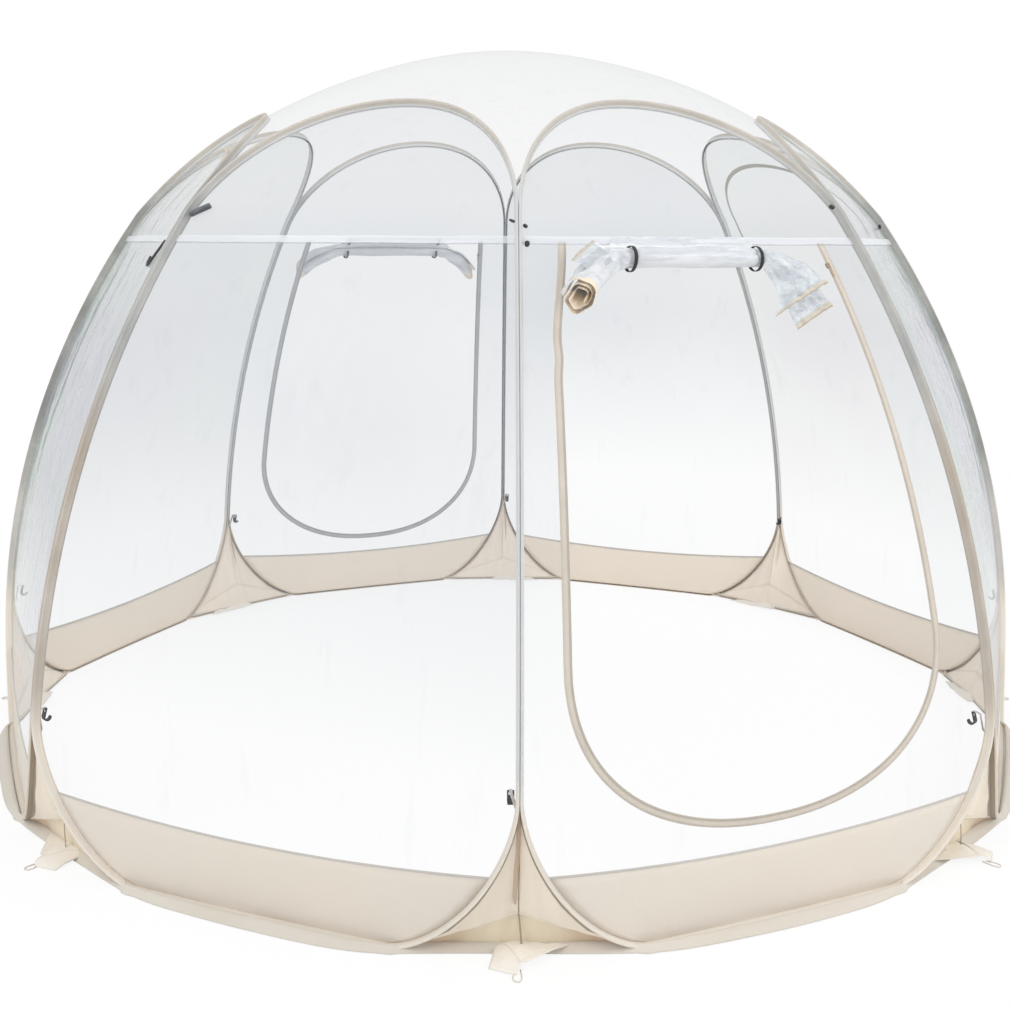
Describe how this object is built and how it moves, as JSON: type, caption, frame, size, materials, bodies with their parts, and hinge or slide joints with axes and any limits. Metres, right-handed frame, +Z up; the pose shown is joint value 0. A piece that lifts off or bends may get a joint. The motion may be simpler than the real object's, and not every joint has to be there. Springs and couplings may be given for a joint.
{
  "type": "bubble tent",
  "caption": "Pop-up garden dome tent with sprung hoop panels of clear film, a clear roof, a cloth foot with ground flap, and two zipped doors rolled up.",
  "frame": {"origin": "middle of the tent on the ground", "axes": "+Z up; -Y is the front, between the front left and the front right panel"},
  "size_m": [3.7068, 3.7068, 2.2705],
  "materials": {
    "hoop_steel": "plain sprung wire",
    "sleeve_tape": "woven binding tape",
    "clear_film": "clear glossy film",
    "band_cloth": "beige woven cloth",
    "flap_cloth": "cream woven cloth",
    "zip_tape": "beige zip tape",
    "tie_elastic": "black elastic",
    "hook_plastic": "black moulded plastic",
    "slider_metal": "dark bronze"
  },
  "bodies": {
    "tent": {"hoop_front_left": "hoop_steel", "sleeve_front_left": "sleeve_tape", "wall_front_left": "clear_film", "band_front_left": "band_cloth", "hoop_left_front": "hoop_steel", "sleeve_left_front": "sleeve_tape", "wall_left_front": "clear_film", "band_left_front": "band_cloth", "hoop_left_back": "hoop_steel", "sleeve_left_back": "sleeve_tape", "wall_left_back": "clear_film", "band_left_back": "band_cloth", "hoop_back_left": "hoop_steel", "sleeve_back_left": "sleeve_tape", "wall_back_left": "clear_film", "band_back_left": "band_cloth", "hoop_back_right": "hoop_steel", "sleeve_back_right": "sleeve_tape", "wall_back_right": "clear_film", "band_back_right": "band_cloth", "hoop_right_back": "hoop_steel", "sleeve_right_back": "sleeve_tape", "wall_right_back": "clear_film", "band_right_back": "band_cloth", "hoop_right_front": "hoop_steel", "sleeve_right_front": "sleeve_tape", "wall_right_front": "clear_film", "band_right_front": "band_cloth", "hoop_front_right": "hoop_steel", "sleeve_front_right": "sleeve_tape", "wall_front_right": "clear_film", "band_front_right": "band_cloth", "gusset_front": "band_cloth", "gusset_front_left": "band_cloth", "gusset_left": "band_cloth", "gusset_back_left": "band_cloth", "gusset_back": "band_cloth", "gusset_back_right": "band_cloth", "gusset_right": "band_cloth", "gusset_front_right": "band_cloth", "roof_cap": "clear_film", "ground_flap": "flap_cloth", "front_door_roll": "clear_film", "front_door_zip": "zip_tape", "front_roll_tie_left": "tie_elastic", "front_roll_tie_right": "tie_elastic", "back_door_roll": "clear_film", "back_door_zip": "zip_tape", "back_roll_tie_left": "tie_elastic", "back_roll_tie_right": "tie_elastic"},
    "hook_front": {"hook_front": "hook_plastic"},
    "hook_front_left": {"hook_front_left": "hook_plastic"},
    "hook_left": {"hook_left": "hook_plastic"},
    "hook_back_left": {"hook_back_left": "hook_plastic"},
    "hook_back": {"hook_back": "hook_plastic"},
    "hook_back_right": {"hook_back_right": "hook_plastic"},
    "hook_right": {"hook_right": "hook_plastic"},
    "hook_front_right": {"hook_front_right": "hook_plastic"},
    "front_door_slider": {"front_door_slider": "slider_metal"},
    "back_door_slider": {"back_door_slider": "slider_metal"}
  },
  "joints": [
    {"name": "hook_front_swing", "type": "hinge", "parent": "tent", "child": "hook_front", "pos_m": [-0.02, -1.74818, 0.42097], "axis": [1, 0, 0], "range_deg": [-5, 80]},
    {"name": "hook_front_left_swing", "type": "hinge", "parent": "tent", "child": "hook_front_left", "pos_m": [-1.25029, -1.22201, 0.42097], "axis": [0.7071, -0.7071, 0], "range_deg": [-5, 80]},
    {"name": "hook_left_swing", "type": "hinge", "parent": "tent", "child": "hook_left", "pos_m": [-1.74818, 0.02, 0.42097], "axis": [0, -1, 0], "range_deg": [-5, 80]},
    {"name": "hook_back_left_swing", "type": "hinge", "parent": "tent", "child": "hook_back_left", "pos_m": [-1.22201, 1.25029, 0.42097], "axis": [-0.7071, -0.7071, 0], "range_deg": [-5, 80]},
    {"name": "hook_back_swing", "type": "hinge", "parent": "tent", "child": "hook_back", "pos_m": [0.02, 1.74818, 0.42097], "axis": [-1, 0, 0], "range_deg": [-5, 80]},
    {"name": "hook_back_right_swing", "type": "hinge", "parent": "tent", "child": "hook_back_right", "pos_m": [1.25029, 1.22201, 0.42097], "axis": [-0.7071, 0.7071, 0], "range_deg": [-5, 80]},
    {"name": "hook_right_swing", "type": "hinge", "parent": "tent", "child": "hook_right", "pos_m": [1.74818, -0.02, 0.42097], "axis": [0, 1, 0], "range_deg": [-5, 80]},
    {"name": "hook_front_right_swing", "type": "hinge", "parent": "tent", "child": "hook_front_right", "pos_m": [1.22201, -1.25029, 0.42097], "axis": [0.7071, 0.7071, 0], "range_deg": [-5, 80]},
    {"name": "front_door_slider_travel", "type": "hinge", "parent": "tent", "child": "front_door_slider", "pos_m": [-0.68619, 0.76079, 0.08034], "axis": [0.7581, 0.6521, -0.0002], "range_deg": [-1, 16.5]},
    {"name": "back_door_slider_travel", "type": "hinge", "parent": "tent", "child": "back_door_slider", "pos_m": [0.05275, -1.02317, 0.08034], "axis": [-0.9972, -0.0749, 0.0002], "range_deg": [-1, 16.5]}
  ]
}
